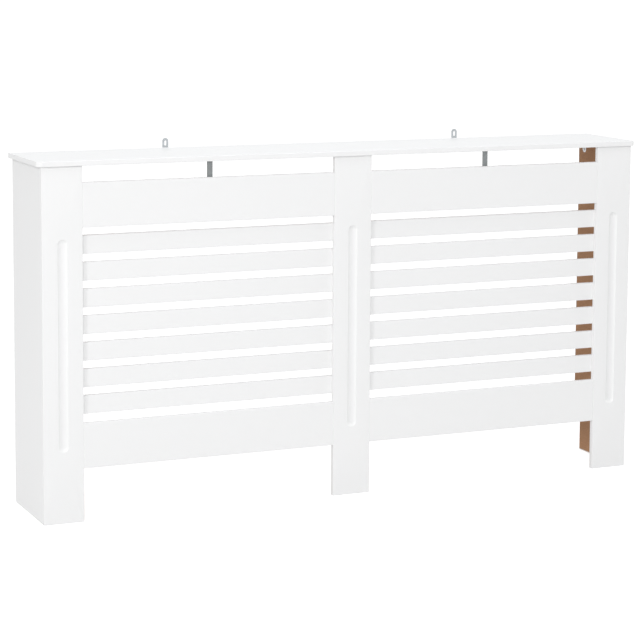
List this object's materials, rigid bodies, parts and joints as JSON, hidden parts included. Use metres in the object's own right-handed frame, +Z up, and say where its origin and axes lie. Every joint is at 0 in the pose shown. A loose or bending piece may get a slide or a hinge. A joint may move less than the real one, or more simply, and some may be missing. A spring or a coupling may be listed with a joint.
{
  "type": "radiator cover cabinet",
  "caption": "Free-standing radiator cover: slatted front with fluted stiles, two side panels, a flat shelf and slotted wall brackets.",
  "frame": {"origin": "on the floor, midway along the cabinet and midway between the shelf's front edge and the wall face of the brackets", "axes": "+X to the viewer's right along the cabinet, +Y from the front towards the wall, +Z up"},
  "size_m": [1.52, 0.238, 0.836],
  "materials": {
    "white_lacquer": "satin white lacquer on MDF, raw brown on the faces that look inwards",
    "zinc_steel": "bright zinc plate on pressed steel strip",
    "cam_alloy": "die-cast zinc, dull nickel plate",
    "screw_steel": "zinc-plated screws",
    "beech": "fluted beech dowels"
  },
  "bodies": {
    "root": {"top_shelf": "white_lacquer", "left_side_panel": "white_lacquer", "right_side_panel": "white_lacquer", "left_stile": "white_lacquer", "middle_stile": "white_lacquer", "right_stile": "white_lacquer", "left_top_rail": "white_lacquer", "left_bottom_rail": "white_lacquer", "right_top_rail": "white_lacquer", "right_bottom_rail": "white_lacquer", "left_slat_1": "white_lacquer", "left_slat_2": "white_lacquer", "left_slat_3": "white_lacquer", "left_slat_4": "white_lacquer", "left_slat_5": "white_lacquer", "left_slat_6": "white_lacquer", "left_slat_7": "white_lacquer", "right_slat_1": "white_lacquer", "right_slat_2": "white_lacquer", "right_slat_3": "white_lacquer", "right_slat_4": "white_lacquer", "right_slat_5": "white_lacquer", "right_slat_6": "white_lacquer", "right_slat_7": "white_lacquer", "left_rail_bracket": "zinc_steel", "left_wall_bracket": "zinc_steel", "right_rail_bracket": "zinc_steel", "right_wall_bracket": "zinc_steel", "cam_locks": "cam_alloy", "cam_bolts": "zinc_steel", "rail_dowels": "beech", "shelf_dowels": "beech", "panel_dowels": "beech", "slat_screws": "screw_steel", "rail_bracket_screws": "screw_steel", "wall_bracket_screws": "screw_steel"}
  },
  "joints": []
}
